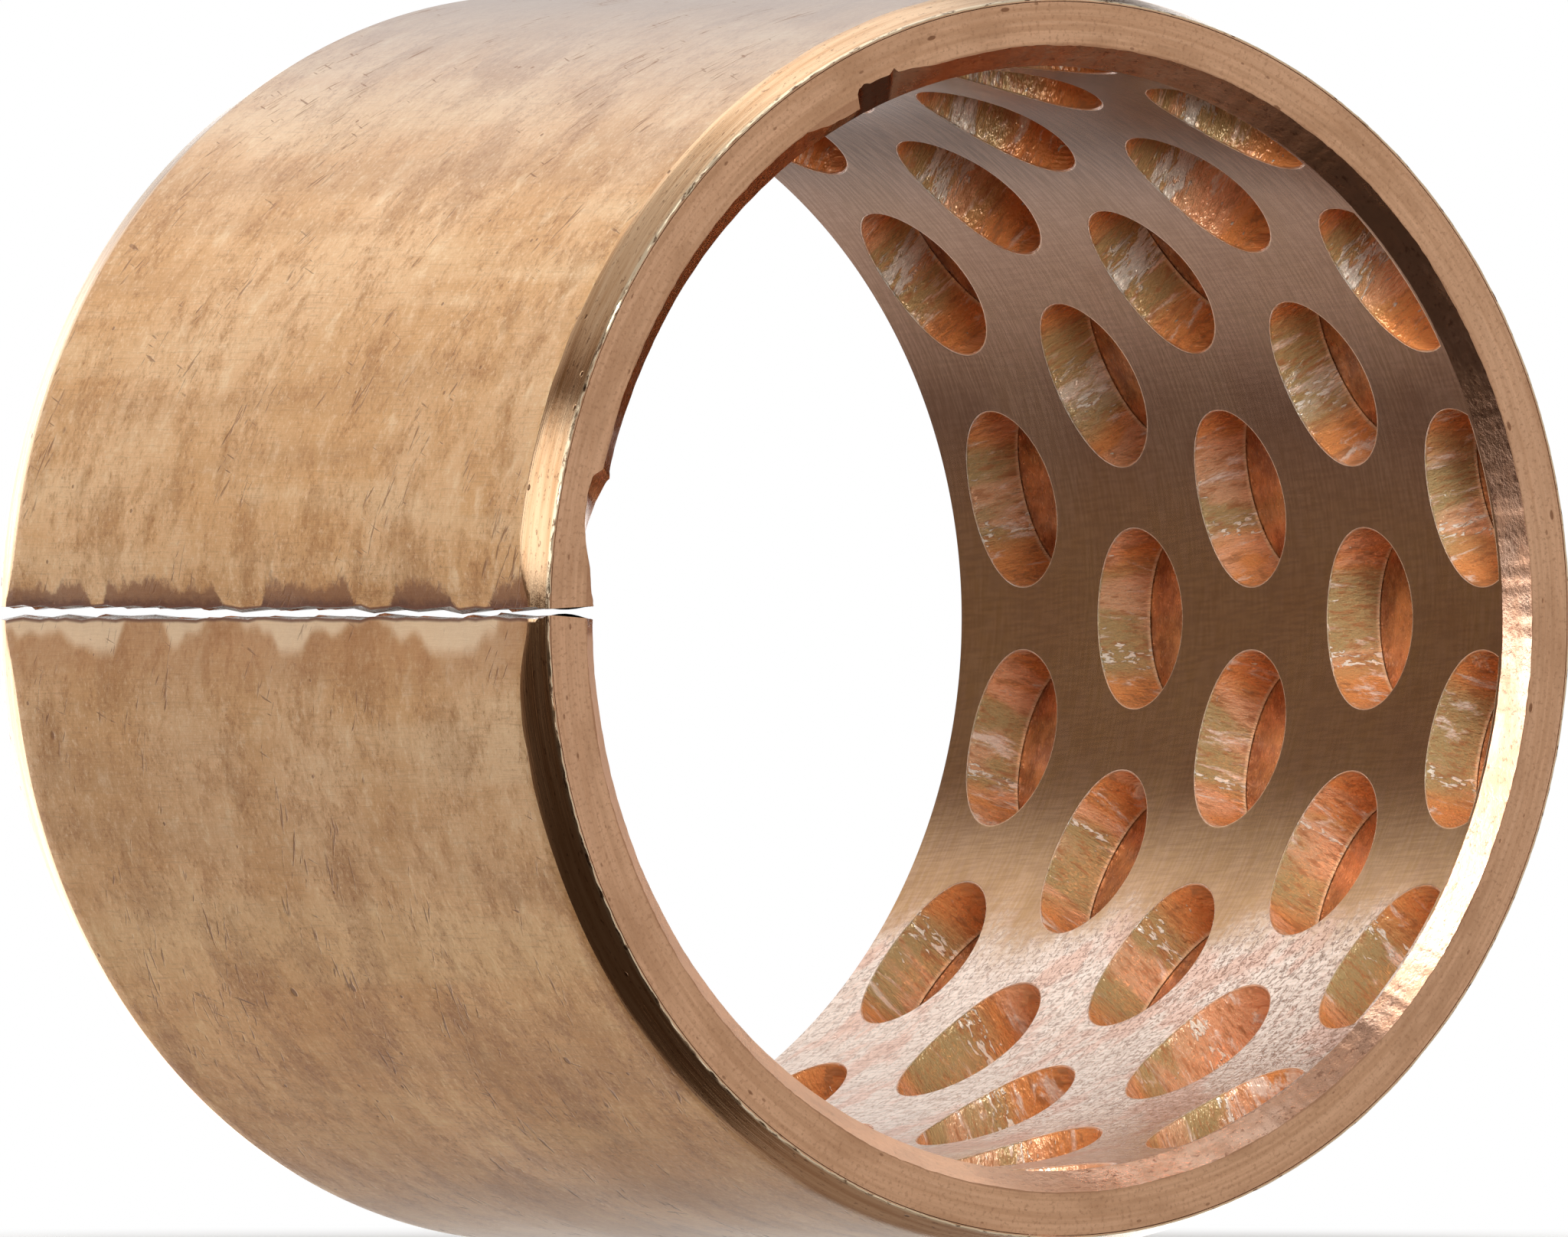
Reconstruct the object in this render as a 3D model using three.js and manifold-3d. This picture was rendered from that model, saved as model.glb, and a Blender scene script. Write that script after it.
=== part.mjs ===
// Bronze sleeve bushing: a plain outer strip lined with a perforated bearing strip,
// both rolled round and meeting in one straight butt joint. Millimetres, +Z up.
// The bore runs along Y. The origin is on its axis, halfway along. -Y is the front.
import * as THREE from "three";
import { mergeVertices } from "three/addons/utils/BufferGeometryUtils.js";
import Module from "manifold-3d";

// Size
const LENGTH = 25;
const OUTER_R = 16;
const BORE_R = 14;
const FRONT_Y = -LENGTH / 2;
const BACK_Y = LENGTH / 2;

// The two strips, with the hairline between them
const SEAM_R = 15.63;
const SEAM_GAP = 0.02;
const SHELL_INNER_R = SEAM_R + SEAM_GAP / 2;
const LINER_OUTER_R = SEAM_R - SEAM_GAP / 2;

// End chamfers: the outer ones are long and shallow, to guide the bushing into its seat
const OUTER_CHAMFER_RADIAL = 0.3;
const OUTER_CHAMFER_AXIAL = 1.05;
const BORE_CHAMFER_FRONT = 0.53;
const BORE_CHAMFER_BACK = 0.12;

// Butt joint, on the -X side
const SLIT_WIDTH = 0.2;

// Grease pockets: oval holes through the liner, closed underneath by the shell
const ROWS = 28;
const SLIT_ROW = ROWS / 2;
const ROW_STEP = (2 * Math.PI) / ROWS;
const POCKET_HALF_AROUND = 2.3;
const POCKET_HALF_ALONG = 1.88;
const POCKET_PITCH = 10.325;
const EVEN_ROW_FIRST = 6.45;
const ODD_ROW_FIRST = 1.4;
const EVEN_ROW_POCKETS = 2;
const ODD_ROW_POCKETS = 3;
const FRONT_LAND = 0.15;
const POCKET_SIDES = 20;

// Faceting and cutting
const SEGMENTS_PER_ROW = 3;
const SEGMENTS = ROWS * SEGMENTS_PER_ROW;
const OVERCUT = 1;
const MERGE_TOLERANCE = 1e-4;

const wasm = await Module();
wasm.setup();

// A closed three.js surface as a solid for cutting.
function toSolid(geometry) {
  const bare = geometry.clone();
  bare.deleteAttribute("normal");
  bare.deleteAttribute("uv");
  const merged = mergeVertices(bare, MERGE_TOLERANCE);
  const mesh = new wasm.Mesh({
    numProp: 3,
    vertProperties: new Float32Array(merged.attributes.position.array),
    triVerts: new Uint32Array(merged.index.array),
  });
  return new wasm.Manifold(mesh);
}

// The cut solid as a named mesh with its own material.
function toMesh(solid, name, color, roughness) {
  const cut = solid.getMesh();
  const geometry = new THREE.BufferGeometry();
  geometry.setAttribute("position", new THREE.BufferAttribute(cut.vertProperties, 3));
  geometry.setIndex(new THREE.BufferAttribute(cut.triVerts, 1));
  geometry.computeVertexNormals();
  const material = new THREE.MeshStandardMaterial({ color, roughness, metalness: 1 });
  const mesh = new THREE.Mesh(geometry, material);
  mesh.name = name;
  return mesh;
}

// A ring about Y from its cross-section, given as [radius, y] corners.
function ring(corners) {
  const closed = [...corners, corners[0]];
  const profile = closed.map(([radius, y]) => new THREE.Vector2(radius, y));
  return toSolid(new THREE.LatheGeometry(profile, SEGMENTS));
}

// The butt joint, cut along the whole length on the -X side.
function slit() {
  const depth = OUTER_R - BORE_R + 2 * OVERCUT;
  const box = new THREE.BoxGeometry(depth, LENGTH + 2 * OVERCUT, SLIT_WIDTH);
  box.translate(-(OUTER_R + BORE_R) / 2, 0, 0);
  return toSolid(box);
}

// An oval outline about (0, centre), x around the bore and y along it.
// A pocket that would reach the front chamfer gets a straight wall just behind it.
function pocketOutline(centre) {
  const frontLimit = FRONT_Y + BORE_CHAMFER_FRONT + FRONT_LAND;
  const reach = (frontLimit - centre) / POCKET_HALF_ALONG;
  const clipped = reach > -1;
  const start = clipped ? Math.asin(reach) : 0;
  const sweep = clipped ? Math.PI - 2 * start : 2 * Math.PI;
  const steps = clipped ? POCKET_SIDES - 4 : POCKET_SIDES;
  const lastPoint = clipped ? steps : steps - 1;
  const shape = new THREE.Shape();
  for (let i = 0; i <= lastPoint; i += 1) {
    const angle = start + (sweep * i) / steps;
    const x = POCKET_HALF_AROUND * Math.cos(angle);
    const y = centre + POCKET_HALF_ALONG * Math.sin(angle);
    if (i === 0) {
      shape.moveTo(x, y);
    } else {
      shape.lineTo(x, y);
    }
  }
  return shape;
}

// One pocket cutter: the outline pushed outwards through the liner at the row's angle.
function pocketCutter(row, centre) {
  const innerReach = BORE_R - OVERCUT;
  const depth = OUTER_R - innerReach;
  const prism = new THREE.ExtrudeGeometry(pocketOutline(centre), { depth, bevelEnabled: false });
  prism.translate(0, 0, innerReach);
  prism.rotateY(Math.PI / 2 - row * ROW_STEP);
  return toSolid(prism);
}

// All pockets, staggered in alternate rows, with no row on the butt joint.
function pocketCutters() {
  const cutters = [];
  for (let row = 0; row < ROWS; row += 1) {
    if (row === SLIT_ROW) {
      continue;
    }
    const even = row % 2 === 0;
    const first = even ? EVEN_ROW_FIRST : ODD_ROW_FIRST;
    const count = even ? EVEN_ROW_POCKETS : ODD_ROW_POCKETS;
    for (let i = 0; i < count; i += 1) {
      cutters.push(pocketCutter(row, FRONT_Y + first + i * POCKET_PITCH));
    }
  }
  return wasm.Manifold.union(cutters);
}

const shellRing = ring([
  [SHELL_INNER_R, FRONT_Y],
  [OUTER_R - OUTER_CHAMFER_RADIAL, FRONT_Y],
  [OUTER_R, FRONT_Y + OUTER_CHAMFER_AXIAL],
  [OUTER_R, BACK_Y - OUTER_CHAMFER_AXIAL],
  [OUTER_R - OUTER_CHAMFER_RADIAL, BACK_Y],
  [SHELL_INNER_R, BACK_Y],
]);

const linerRing = ring([
  [BORE_R + BORE_CHAMFER_FRONT, FRONT_Y],
  [LINER_OUTER_R, FRONT_Y],
  [LINER_OUTER_R, BACK_Y],
  [BORE_R + BORE_CHAMFER_BACK, BACK_Y],
  [BORE_R, BACK_Y - BORE_CHAMFER_BACK],
  [BORE_R, FRONT_Y + BORE_CHAMFER_FRONT],
]);

const joint = slit();
const shell = shellRing.subtract(joint);
const liner = linerRing.subtract(joint).subtract(pocketCutters());

const bushing = new THREE.Group();
bushing.name = "sleeve_bushing";
bushing.add(toMesh(shell, "backing_shell", 0xc69a68, 0.38));
bushing.add(toMesh(liner, "perforated_liner", 0xa97358, 0.42));

export default bushing;
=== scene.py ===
"""Looks for the bronze sleeve bushing: the rolled outer strip and the perforated liner inside it.

Lengths are in millimetres until a mesh is made. An angle is measured about the bore (the Y axis),
0 at +X and 90 degrees at +Z, so the butt joint is at 180. -Y is the front end.
"""

import math

import bmesh
import bpy
import numpy as np
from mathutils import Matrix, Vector, geometry


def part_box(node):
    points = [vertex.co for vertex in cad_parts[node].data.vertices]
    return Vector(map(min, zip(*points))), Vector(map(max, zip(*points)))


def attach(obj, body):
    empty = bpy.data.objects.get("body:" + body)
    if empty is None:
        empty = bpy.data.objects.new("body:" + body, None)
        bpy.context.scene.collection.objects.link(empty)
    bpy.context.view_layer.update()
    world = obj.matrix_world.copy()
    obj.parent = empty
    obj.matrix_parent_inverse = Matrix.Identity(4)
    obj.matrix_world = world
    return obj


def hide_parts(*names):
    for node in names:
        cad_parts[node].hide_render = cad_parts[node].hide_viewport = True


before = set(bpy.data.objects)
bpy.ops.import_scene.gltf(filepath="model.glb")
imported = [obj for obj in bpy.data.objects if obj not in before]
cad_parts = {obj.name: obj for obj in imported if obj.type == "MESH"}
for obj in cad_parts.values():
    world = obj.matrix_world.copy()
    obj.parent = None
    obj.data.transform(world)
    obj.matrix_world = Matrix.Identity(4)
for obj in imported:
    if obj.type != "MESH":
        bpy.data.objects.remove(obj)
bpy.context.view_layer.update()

MM = 0.001
PI = math.pi
SHARP_ANGLE = math.radians(32)


# ---------------------------------------------------------------- sizes

shell_low, shell_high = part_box("backing_shell")
liner_low, liner_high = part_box("perforated_liner")
FRONT = shell_low.y / MM
BACK = shell_high.y / MM
OUTER_R = shell_high.z / MM
LINER_OUTER_R = liner_high.z / MM
HAIRLINE = 0.02
WALL = 2
SHELL_INNER_R = LINER_OUTER_R + HAIRLINE
BORE_R = OUTER_R - WALL

OUTER_CHAMFER_RADIAL = 0.3
OUTER_CHAMFER_AXIAL = 1.05
BORE_CHAMFER = 0.53
BACK_BORE_CHAMFER = 0.12
FACE_OUTER_R = OUTER_R - OUTER_CHAMFER_RADIAL
FACE_INNER_R = BORE_R + BORE_CHAMFER

POCKET_ROWS = 28
POCKET_HALF_AROUND = 2.3
POCKET_HALF_ALONG = 1.88
POCKET_PITCH = 10.325

# First centre behind the front end, and how many pockets the row has
EVEN_ROW = (6.45, 2)
ODD_ROW = (1.4, 3)

# How far the land behind the front chamfer reaches before a pocket may start
FRONT_LAND = 0.15
CHIPPED_ROW = 13
CHIPPED_LAND = 0.8

# The pockets' mesh: points round an outline, whole or cut straight, the rounding of the rim
# and the ring that holds the flat bore beside it
OUTLINE_POINTS = 64
CUT_OUTLINE_POINTS = 52
CUT_WALL_POINTS = 14
RIM_ROUND = 0.04
RIM_RING = 0.03
RIM_CLEAR = 0.16
FLOOR_CLEAR = 0.3

# Spacing of the pockets' numbers, which makes the streaks differ from pocket to pocket
POCKET_TAG = 1.7

# Steps round the strips, and spacing of the points on their flat parts
COLUMNS = POCKET_ROWS * 36
END_STEP = 0.25
BORE_STEP = 0.45
HIDDEN_STEP = 1.2
angles = np.linspace(-PI, PI, COLUMNS + 1)

# The butt joint: heights of its two edges over the bore axis at the front end, how much each
# moves away towards the back, the depth of the shear marks on the edges and on the walls,
# the fine unevenness, the least gap and the angle over which the strips bend to open it
UPPER_EDGE = 0.325
UPPER_DRIFT = 0.05
LOWER_EDGE = -0.05
LOWER_DRIFT = 0.03
EDGE_MARKS = 0.085
WALL_MARKS = 0.24
EDGE_GRAIN = 0.006
EDGE_GRAIN_STEP = 0.4
LEAST_GAP = 0.045
JOINT_WINDOW = math.radians(2.5)

# The strip's ends spring inwards beside the joint: depth, reach in degrees, and its waviness
SPRING_DEPTH = 0.15
SPRING_REACH = 4.2
SPRING_WAVE = 0.25
SPRING_WAVE_LENGTH = 9.3
SPRING_WAVE_START = 2.0


# ---------------------------------------------------------------- mesh building

def ragged(position, step, seed, smooth=False):
    """A repeatable uneven line from -1 to 1 with a kink about every step."""
    position = np.asarray(position, float)
    random = np.random.default_rng(seed)
    low = position.min()
    knots = np.arange(low - step, position.max() + 2 * step, step)
    values = random.uniform(-1, 1, len(knots))
    if smooth:
        t = (position - knots[0]) / step
        i = np.clip(t.astype(int), 0, len(knots) - 2)
        f = t - i
        f = f * f * (3 - 2 * f)
        return values[i] * (1 - f) + values[i + 1] * f
    return np.interp(position, knots, values)


def bump(angle, centre, width):
    """1 at the centre angle and falling smoothly to 0 away from it, in degrees."""
    return np.exp(-(((np.degrees(angle) - centre) / width) ** 2))


def through(angle, stops):
    """A value that runs straight between (degrees, value) stops."""
    return np.interp(np.degrees(angle), [s[0] for s in stops], [s[1] for s in stops])


def joint_dip(angle, y):
    """How far the strip's ends spring inwards beside the butt joint."""
    off = 180 - np.abs(np.degrees(angle))
    along = 1 + SPRING_WAVE * np.cos(2 * PI * (y - SPRING_WAVE_START) / SPRING_WAVE_LENGTH)
    return SPRING_DEPTH * along * np.exp(-((off / SPRING_REACH) ** 2))


def shards(y, seed):
    """Shear marks along a joint edge: long slopes with short steps between them, from 0 to 1."""
    overhang = 3
    step = 0.12
    random = np.random.default_rng(seed)
    knots = [FRONT - overhang]
    heights = [0.0]
    while knots[-1] < BACK + overhang:
        top = random.uniform(0.4, 1.0)
        knots.append(knots[-1] + random.uniform(0.9, 2.4))
        knots.append(knots[-1] + step)
        heights += [top, random.uniform(0.0, 0.25)]
    return np.interp(y, knots, heights)


def joint_edge(y, side, radius):
    """Height of the butt joint's edge above the bore axis: side 1 is the upper edge.
    The sheared walls lean into the gap towards the bore, in uneven teeth, and never touch."""
    along = (y - FRONT) / (BACK - FRONT)
    inward = np.sin(PI * np.clip((OUTER_R - radius) / (OUTER_R - BORE_R) * 1.3, 0, 1))
    upper = UPPER_EDGE + UPPER_DRIFT * along - EDGE_MARKS * shards(y, 11)
    upper = upper + EDGE_GRAIN * ragged(y, EDGE_GRAIN_STEP, 12)
    upper -= WALL_MARKS * shards(y + 0.7, 15) * inward
    if side > 0:
        return upper
    lower = LOWER_EDGE - LOWER_DRIFT * along + EDGE_MARKS * shards(y, 13)
    lower = lower + EDGE_GRAIN * ragged(y, EDGE_GRAIN_STEP, 14)
    lower += WALL_MARKS * shards(y + 0.4, 16) * inward
    return np.minimum(lower, upper - LEAST_GAP)


def place(angle, radius, y):
    """Points in metres from angle, radius and y, with the butt joint opened."""
    beyond = np.clip((np.abs(angle) - (PI - JOINT_WINDOW)) / JOINT_WINDOW, 0, 1)
    upper = np.arcsin(joint_edge(y, 1, radius) / radius)
    lower = -np.arcsin(joint_edge(y, -1, radius) / radius)
    shrink = np.where(angle > 0, upper, lower) * beyond
    turned = angle - np.sign(angle) * shrink
    points = np.stack([radius * np.cos(turned), y, radius * np.sin(turned)], axis=-1)
    return points * MM


class Skin:
    """A closed surface gathered from bands and sheets, then made into one mesh."""

    def __init__(self):
        self.index = {}
        self.points = []
        self.pocket = {}
        self.floors = []
        self.faces = []
        self.zones = []

    def vertex(self, angle, radius, y):
        key = (round(angle, 6), round(radius, 5), round(y, 5))
        found = self.index.get(key)
        if found is None:
            found = len(self.points)
            self.index[key] = found
            self.points.append((angle, radius, y))
        return found

    def line(self, angle, radius, y):
        """Vertices along a line given as arrays."""
        angle, radius, y = np.broadcast_arrays(angle, radius, y)
        return [self.vertex(*p) for p in zip(angle.tolist(), radius.tolist(), y.tolist())]

    def face(self, corners, zone):
        unique = list(dict.fromkeys(corners))
        if len(unique) > 2:
            self.faces.append(unique)
            self.zones.append(zone)

    def band(self, lines, zone, closed=False):
        """Quads between neighbouring lines of vertices, given in order."""
        for first, second in zip(lines, lines[1:]):
            count = len(first) if closed else len(first) - 1
            for i in range(count):
                j = (i + 1) % len(first)
                self.face([first[i], first[j], second[j], second[i]], zone)

    def sheet(self, radius, loops, inner, zone, front):
        """A cylinder surface at one radius, from a boundary loop and the loops of its holes.
        inner holds loose (angle, y) points, and front is the uneven y the sheet stays behind."""
        owner = {name: number for number, loop in enumerate(loops[1:]) for name in loop}
        flat = []
        edges = []
        names = []
        for loop in loops:
            start = len(flat)
            for name in loop:
                a, _, y = self.points[name]
                flat.append(Vector((a * BORE_R, y)))
                names.append(name)
            count = len(loop)
            edges += [(start + i, start + (i + 1) % count) for i in range(count)]
        for a, y in inner:
            flat.append(Vector((a * BORE_R, y)))
            names.append(self.vertex(a, radius, y))
        points, _, faces, origin = geometry.delaunay_2d_cdt(flat, edges, [], 0, 1e-7, True)[:4]
        lookup = [names[o[0]] for o in origin]
        for corners in faces:
            ring = [lookup[i] for i in corners]
            owners = {owner.get(i) for i in ring}
            across_hole = len(owners) == 1 and None not in owners
            cx = sum(points[i].x for i in corners) / 3 / BORE_R
            cy = sum(points[i].y for i in corners) / 3
            if cy > np.interp(cx, angles, front) and not across_hole:
                self.face(ring, zone)

    def make(self, name, materials):
        angle, radius, y = np.array(self.points).T
        co = place(angle, radius, y)
        mesh = bpy.data.meshes.new(name)
        mesh.from_pydata(co.tolist(), [], self.faces)
        mesh.polygons.foreach_set("material_index", self.zones)
        mesh.polygons.foreach_set("use_smooth", [True] * len(self.faces))
        unrolled = mesh.attributes.new("unrolled", "FLOAT_VECTOR", "POINT")
        flat = np.stack([angle * OUTER_R, y, radius], axis=-1).astype(np.float32)
        unrolled.data.foreach_set("vector", flat.ravel())
        inside = np.zeros((len(self.points), 3), np.float32)
        for vertex, where in self.pocket.items():
            inside[vertex] = where
        in_pocket = mesh.attributes.new("pocket", "FLOAT_VECTOR", "POINT")
        in_pocket.data.foreach_set("vector", inside.ravel())
        for material in materials:
            mesh.materials.append(material)
        solid = bmesh.new()
        solid.from_mesh(mesh)
        bmesh.ops.recalc_face_normals(solid, faces=solid.faces)
        solid.to_mesh(mesh)
        solid.free()
        mesh.set_sharp_from_angle(angle=SHARP_ANGLE)
        piece = bpy.data.objects.new(name, mesh)
        bpy.context.scene.collection.objects.link(piece)
        return piece


# ---------------------------------------------------------------- pockets

def pockets():
    """(row, centre y) of every pocket, with no row on the butt joint."""
    for row in range(1 - POCKET_ROWS // 2, POCKET_ROWS // 2):
        first, count = EVEN_ROW if row % 2 == 0 else ODD_ROW
        for i in range(count):
            yield row, FRONT + first + i * POCKET_PITCH


def front_limit(row):
    """The y that no pocket of the row passes: further back where the front edge is chipped."""
    return FRONT + BORE_CHAMFER + (CHIPPED_LAND if row == CHIPPED_ROW else FRONT_LAND)


def pocket_outline(row, centre):
    """(across, y, outward direction) round a pocket, cut straight behind the front chamfer."""
    limit = (front_limit(row) - centre) / POCKET_HALF_ALONG
    turn = np.linspace(0, 2 * PI, OUTLINE_POINTS, endpoint=False)
    if limit > -1:
        start = math.asin(limit)
        turn = np.linspace(start, PI - start, CUT_OUTLINE_POINTS)
    across = POCKET_HALF_AROUND * np.cos(turn)
    along = POCKET_HALF_ALONG * np.sin(turn)
    out = np.stack([np.cos(turn) / POCKET_HALF_AROUND, np.sin(turn) / POCKET_HALF_ALONG])
    out /= np.linalg.norm(out, axis=0)
    if limit > -1:
        wall = np.linspace(across[-1], across[0], CUT_WALL_POINTS)[1:-1]
        across = np.concatenate([across, wall])
        along = np.concatenate([along, np.full(len(wall), along[-1])])
        forward = np.stack([np.zeros(len(wall)), -np.ones(len(wall))])
        out = np.concatenate([out, forward], axis=1)
        out[:, 0] = out[:, CUT_OUTLINE_POINTS - 1] * (-1, 1)
    return across, centre + along, out


def in_hole(angle, y, radius, grow):
    """True inside one of the pockets, widened by grow, on the cylinder of the given radius."""
    row = round(angle / (2 * PI / POCKET_ROWS))
    for near in (row - 1, row, row + 1):
        if abs(near) >= POCKET_ROWS // 2:
            continue
        first, count = EVEN_ROW if near % 2 == 0 else ODD_ROW
        u = (angle - near * 2 * PI / POCKET_ROWS) * radius
        for i in range(count):
            centre = FRONT + first + i * POCKET_PITCH
            v = y - centre
            if y < front_limit(near) - grow:
                continue
            if (u / (POCKET_HALF_AROUND + grow)) ** 2 + (v / (POCKET_HALF_ALONG + grow)) ** 2 < 1:
                return True
    return False


def spread(low, high, step):
    """Even samples strictly between two limits."""
    count = max(2, round((high - low) / step))
    return np.linspace(low, high, count + 1)[1:-1]


# ---------------------------------------------------------------- the liner

BORE, POCKET, BORE_BEVEL, FACE, HIDDEN, JOINT = range(6)


def build_liner(materials):
    skin = Skin()
    arc = angles * BORE_R

    # Uneven edges of the front end: the notch and the step near the top, and the chip above
    # the joint
    face_edge = FACE_INNER_R + 0.014 * ragged(arc, 0.16, 1) + 0.02 * ragged(arc, 1.1, 2, True)
    face_edge += through(angles, [
        (105, 0), (106.2, 0.03), (110.2, 0.18), (110.4, 0.34), (110.9, 0.2),
        (113.8, 0.24), (114.1, 0.34), (114.5, 0.24), (115.3, 0.22),
        (115.6, -0.24), (118, -0.24), (120, -0.17), (122.5, 0),
        (165, 0), (166, 0.26), (168, 0.31), (171.5, 0.22), (175, -0.03), (180, -0.2),
    ])
    bore_edge = FRONT + BORE_CHAMFER + 0.012 * ragged(arc, 0.2, 3)
    bore_edge = bore_edge + 0.015 * ragged(arc, 1.3, 4, True)
    bore_edge += through(angles, [
        (165, 0), (166, 0.08), (168, 0.34), (171.4, 0.62), (175, 0.3), (179, 0), (180, 0),
    ])
    bore_edge_r = BORE_R - 0.07 * bump(angles, 165.3, 0.35)
    first_y = np.maximum(FRONT + BORE_CHAMFER + 0.045, bore_edge + 0.03)

    lines = []
    for t in np.linspace(0, 1, 4):
        radius = face_edge + (bore_edge_r - face_edge) * t
        lines.append(skin.line(angles, radius, FRONT + (bore_edge - FRONT) * t))
    skin.band(lines, BORE_BEVEL)
    start = skin.line(angles, BORE_R, first_y)
    skin.band([lines[-1], start], BORE)

    # Bore with pockets
    back_y = BACK - BACK_BORE_CHAMFER
    finish = skin.line(angles, BORE_R, back_y)
    side_y = spread(first_y[0], back_y, END_STEP)
    left = skin.line(-PI, BORE_R, side_y)
    right = skin.line(PI, BORE_R, side_y)
    boundary = start + right + finish[::-1] + left[::-1]
    loops = [boundary]
    for number, (row, centre) in enumerate(pockets()):
        row_angle = row * 2 * PI / POCKET_ROWS
        across, y, out = pocket_outline(row, centre)
        beside = across + out[0] * (RIM_ROUND + RIM_RING)
        beside_y = y + out[1] * (RIM_ROUND + RIM_RING)
        around = skin.line(row_angle + np.arcsin(beside / BORE_R), BORE_R, beside_y)
        loops.append(around)
        rings = []
        for turn in np.linspace(0, PI / 2, 4):
            aside = RIM_ROUND * (1 - math.sin(turn))
            radius = BORE_R + RIM_ROUND * (1 - math.cos(turn))
            u = across + out[0] * aside
            rings.append(skin.line(row_angle + np.arcsin(u / radius), radius, y + out[1] * aside))
        skin.band([around, rings[0]], BORE, closed=True)
        for radius in np.linspace(BORE_R + RIM_ROUND, LINER_OUTER_R, 7)[1:]:
            rings.append(skin.line(row_angle + np.arcsin(across / radius), radius, y))
        skin.band(rings, POCKET, closed=True)
        skin.floors.append(rings[-1])
        for level, ring in enumerate(rings):
            depth = level / (len(rings) - 1)
            for vertex, u in zip(ring, across):
                skin.pocket[vertex] = (u / POCKET_HALF_AROUND, depth, number * POCKET_TAG)
    inner = []
    clear = RIM_ROUND + RIM_CLEAR
    for y in spread(FRONT + BORE_CHAMFER + 0.1, back_y, BORE_STEP):
        for a in spread(-PI, PI, BORE_STEP / BORE_R):
            if not in_hole(a, y, BORE_R, clear) and y > np.interp(a, angles, first_y) + 0.15:
                inner.append((a, y))
    skin.sheet(BORE_R, loops, inner, BORE, first_y)

    # Back end, outside and front face
    rim = [
        finish,
        skin.line(angles, BORE_R + BACK_BORE_CHAMFER, BACK),
    ]
    skin.band(rim, BORE_BEVEL)
    back_lines = [rim[-1]]
    for radius in spread(BORE_R + BACK_BORE_CHAMFER, LINER_OUTER_R, 0.3):
        back_lines.append(skin.line(angles, radius, BACK))
    back_lines.append(skin.line(angles, LINER_OUTER_R, BACK))
    skin.band(back_lines, FACE)

    outside_front = skin.line(angles, LINER_OUTER_R, FRONT)
    front_lines = [outside_front]
    for t in np.linspace(0, 1, 6)[1:-1]:
        radius = LINER_OUTER_R + (face_edge - LINER_OUTER_R) * t
        front_lines.append(skin.line(angles, radius, FRONT))
    front_lines.append(lines[0])
    skin.band(front_lines, FACE)

    outer_y = spread(FRONT, BACK, END_STEP)
    outer_left = skin.line(-PI, LINER_OUTER_R, outer_y)
    outer_right = skin.line(PI, LINER_OUTER_R, outer_y)
    boundary = outside_front + outer_right + back_lines[-1][::-1] + outer_left[::-1]
    loops = [boundary] + skin.floors
    inner = []
    for y in spread(FRONT, BACK, HIDDEN_STEP):
        for a in spread(-PI, PI, HIDDEN_STEP / BORE_R):
            if not in_hole(a, y, LINER_OUTER_R, FLOOR_CLEAR):
                inner.append((a, y))
    skin.sheet(LINER_OUTER_R, loops, inner, HIDDEN, angles * 0 + FRONT)

    # Both walls of the butt joint
    for end, bore_side, outer_side in ((0, left, outer_left), (-1, right, outer_right)):
        loop = [line[end] for line in lines] + [start[end]] + bore_side
        loop += [line[end] for line in rim + back_lines[1:]] + outer_side[::-1]
        loop += [line[end] for line in front_lines[:-1]]
        cap(skin, loop, JOINT)
    return skin.make("pocketed_liner", materials)


def cap(skin, loop, zone):
    """Closes the end of a rolled strip, from the loop of its section."""
    outline = [Vector((skin.points[i][1], skin.points[i][2], 0)) for i in loop]
    for corners in geometry.tessellate_polygon([outline]):
        skin.face([loop[i] for i in corners], zone)


# ---------------------------------------------------------------- the shell

OUTSIDE, END_BEVEL, SHELL_FACE, INSIDE, SHELL_JOINT = range(5)

# Width of the uneven lip round the front face, and the first two lines of the cone behind it
LIP_WIDTH = 0.035
CONE_START = (0.03, 0.07)
BODY_LINES = 61


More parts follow.
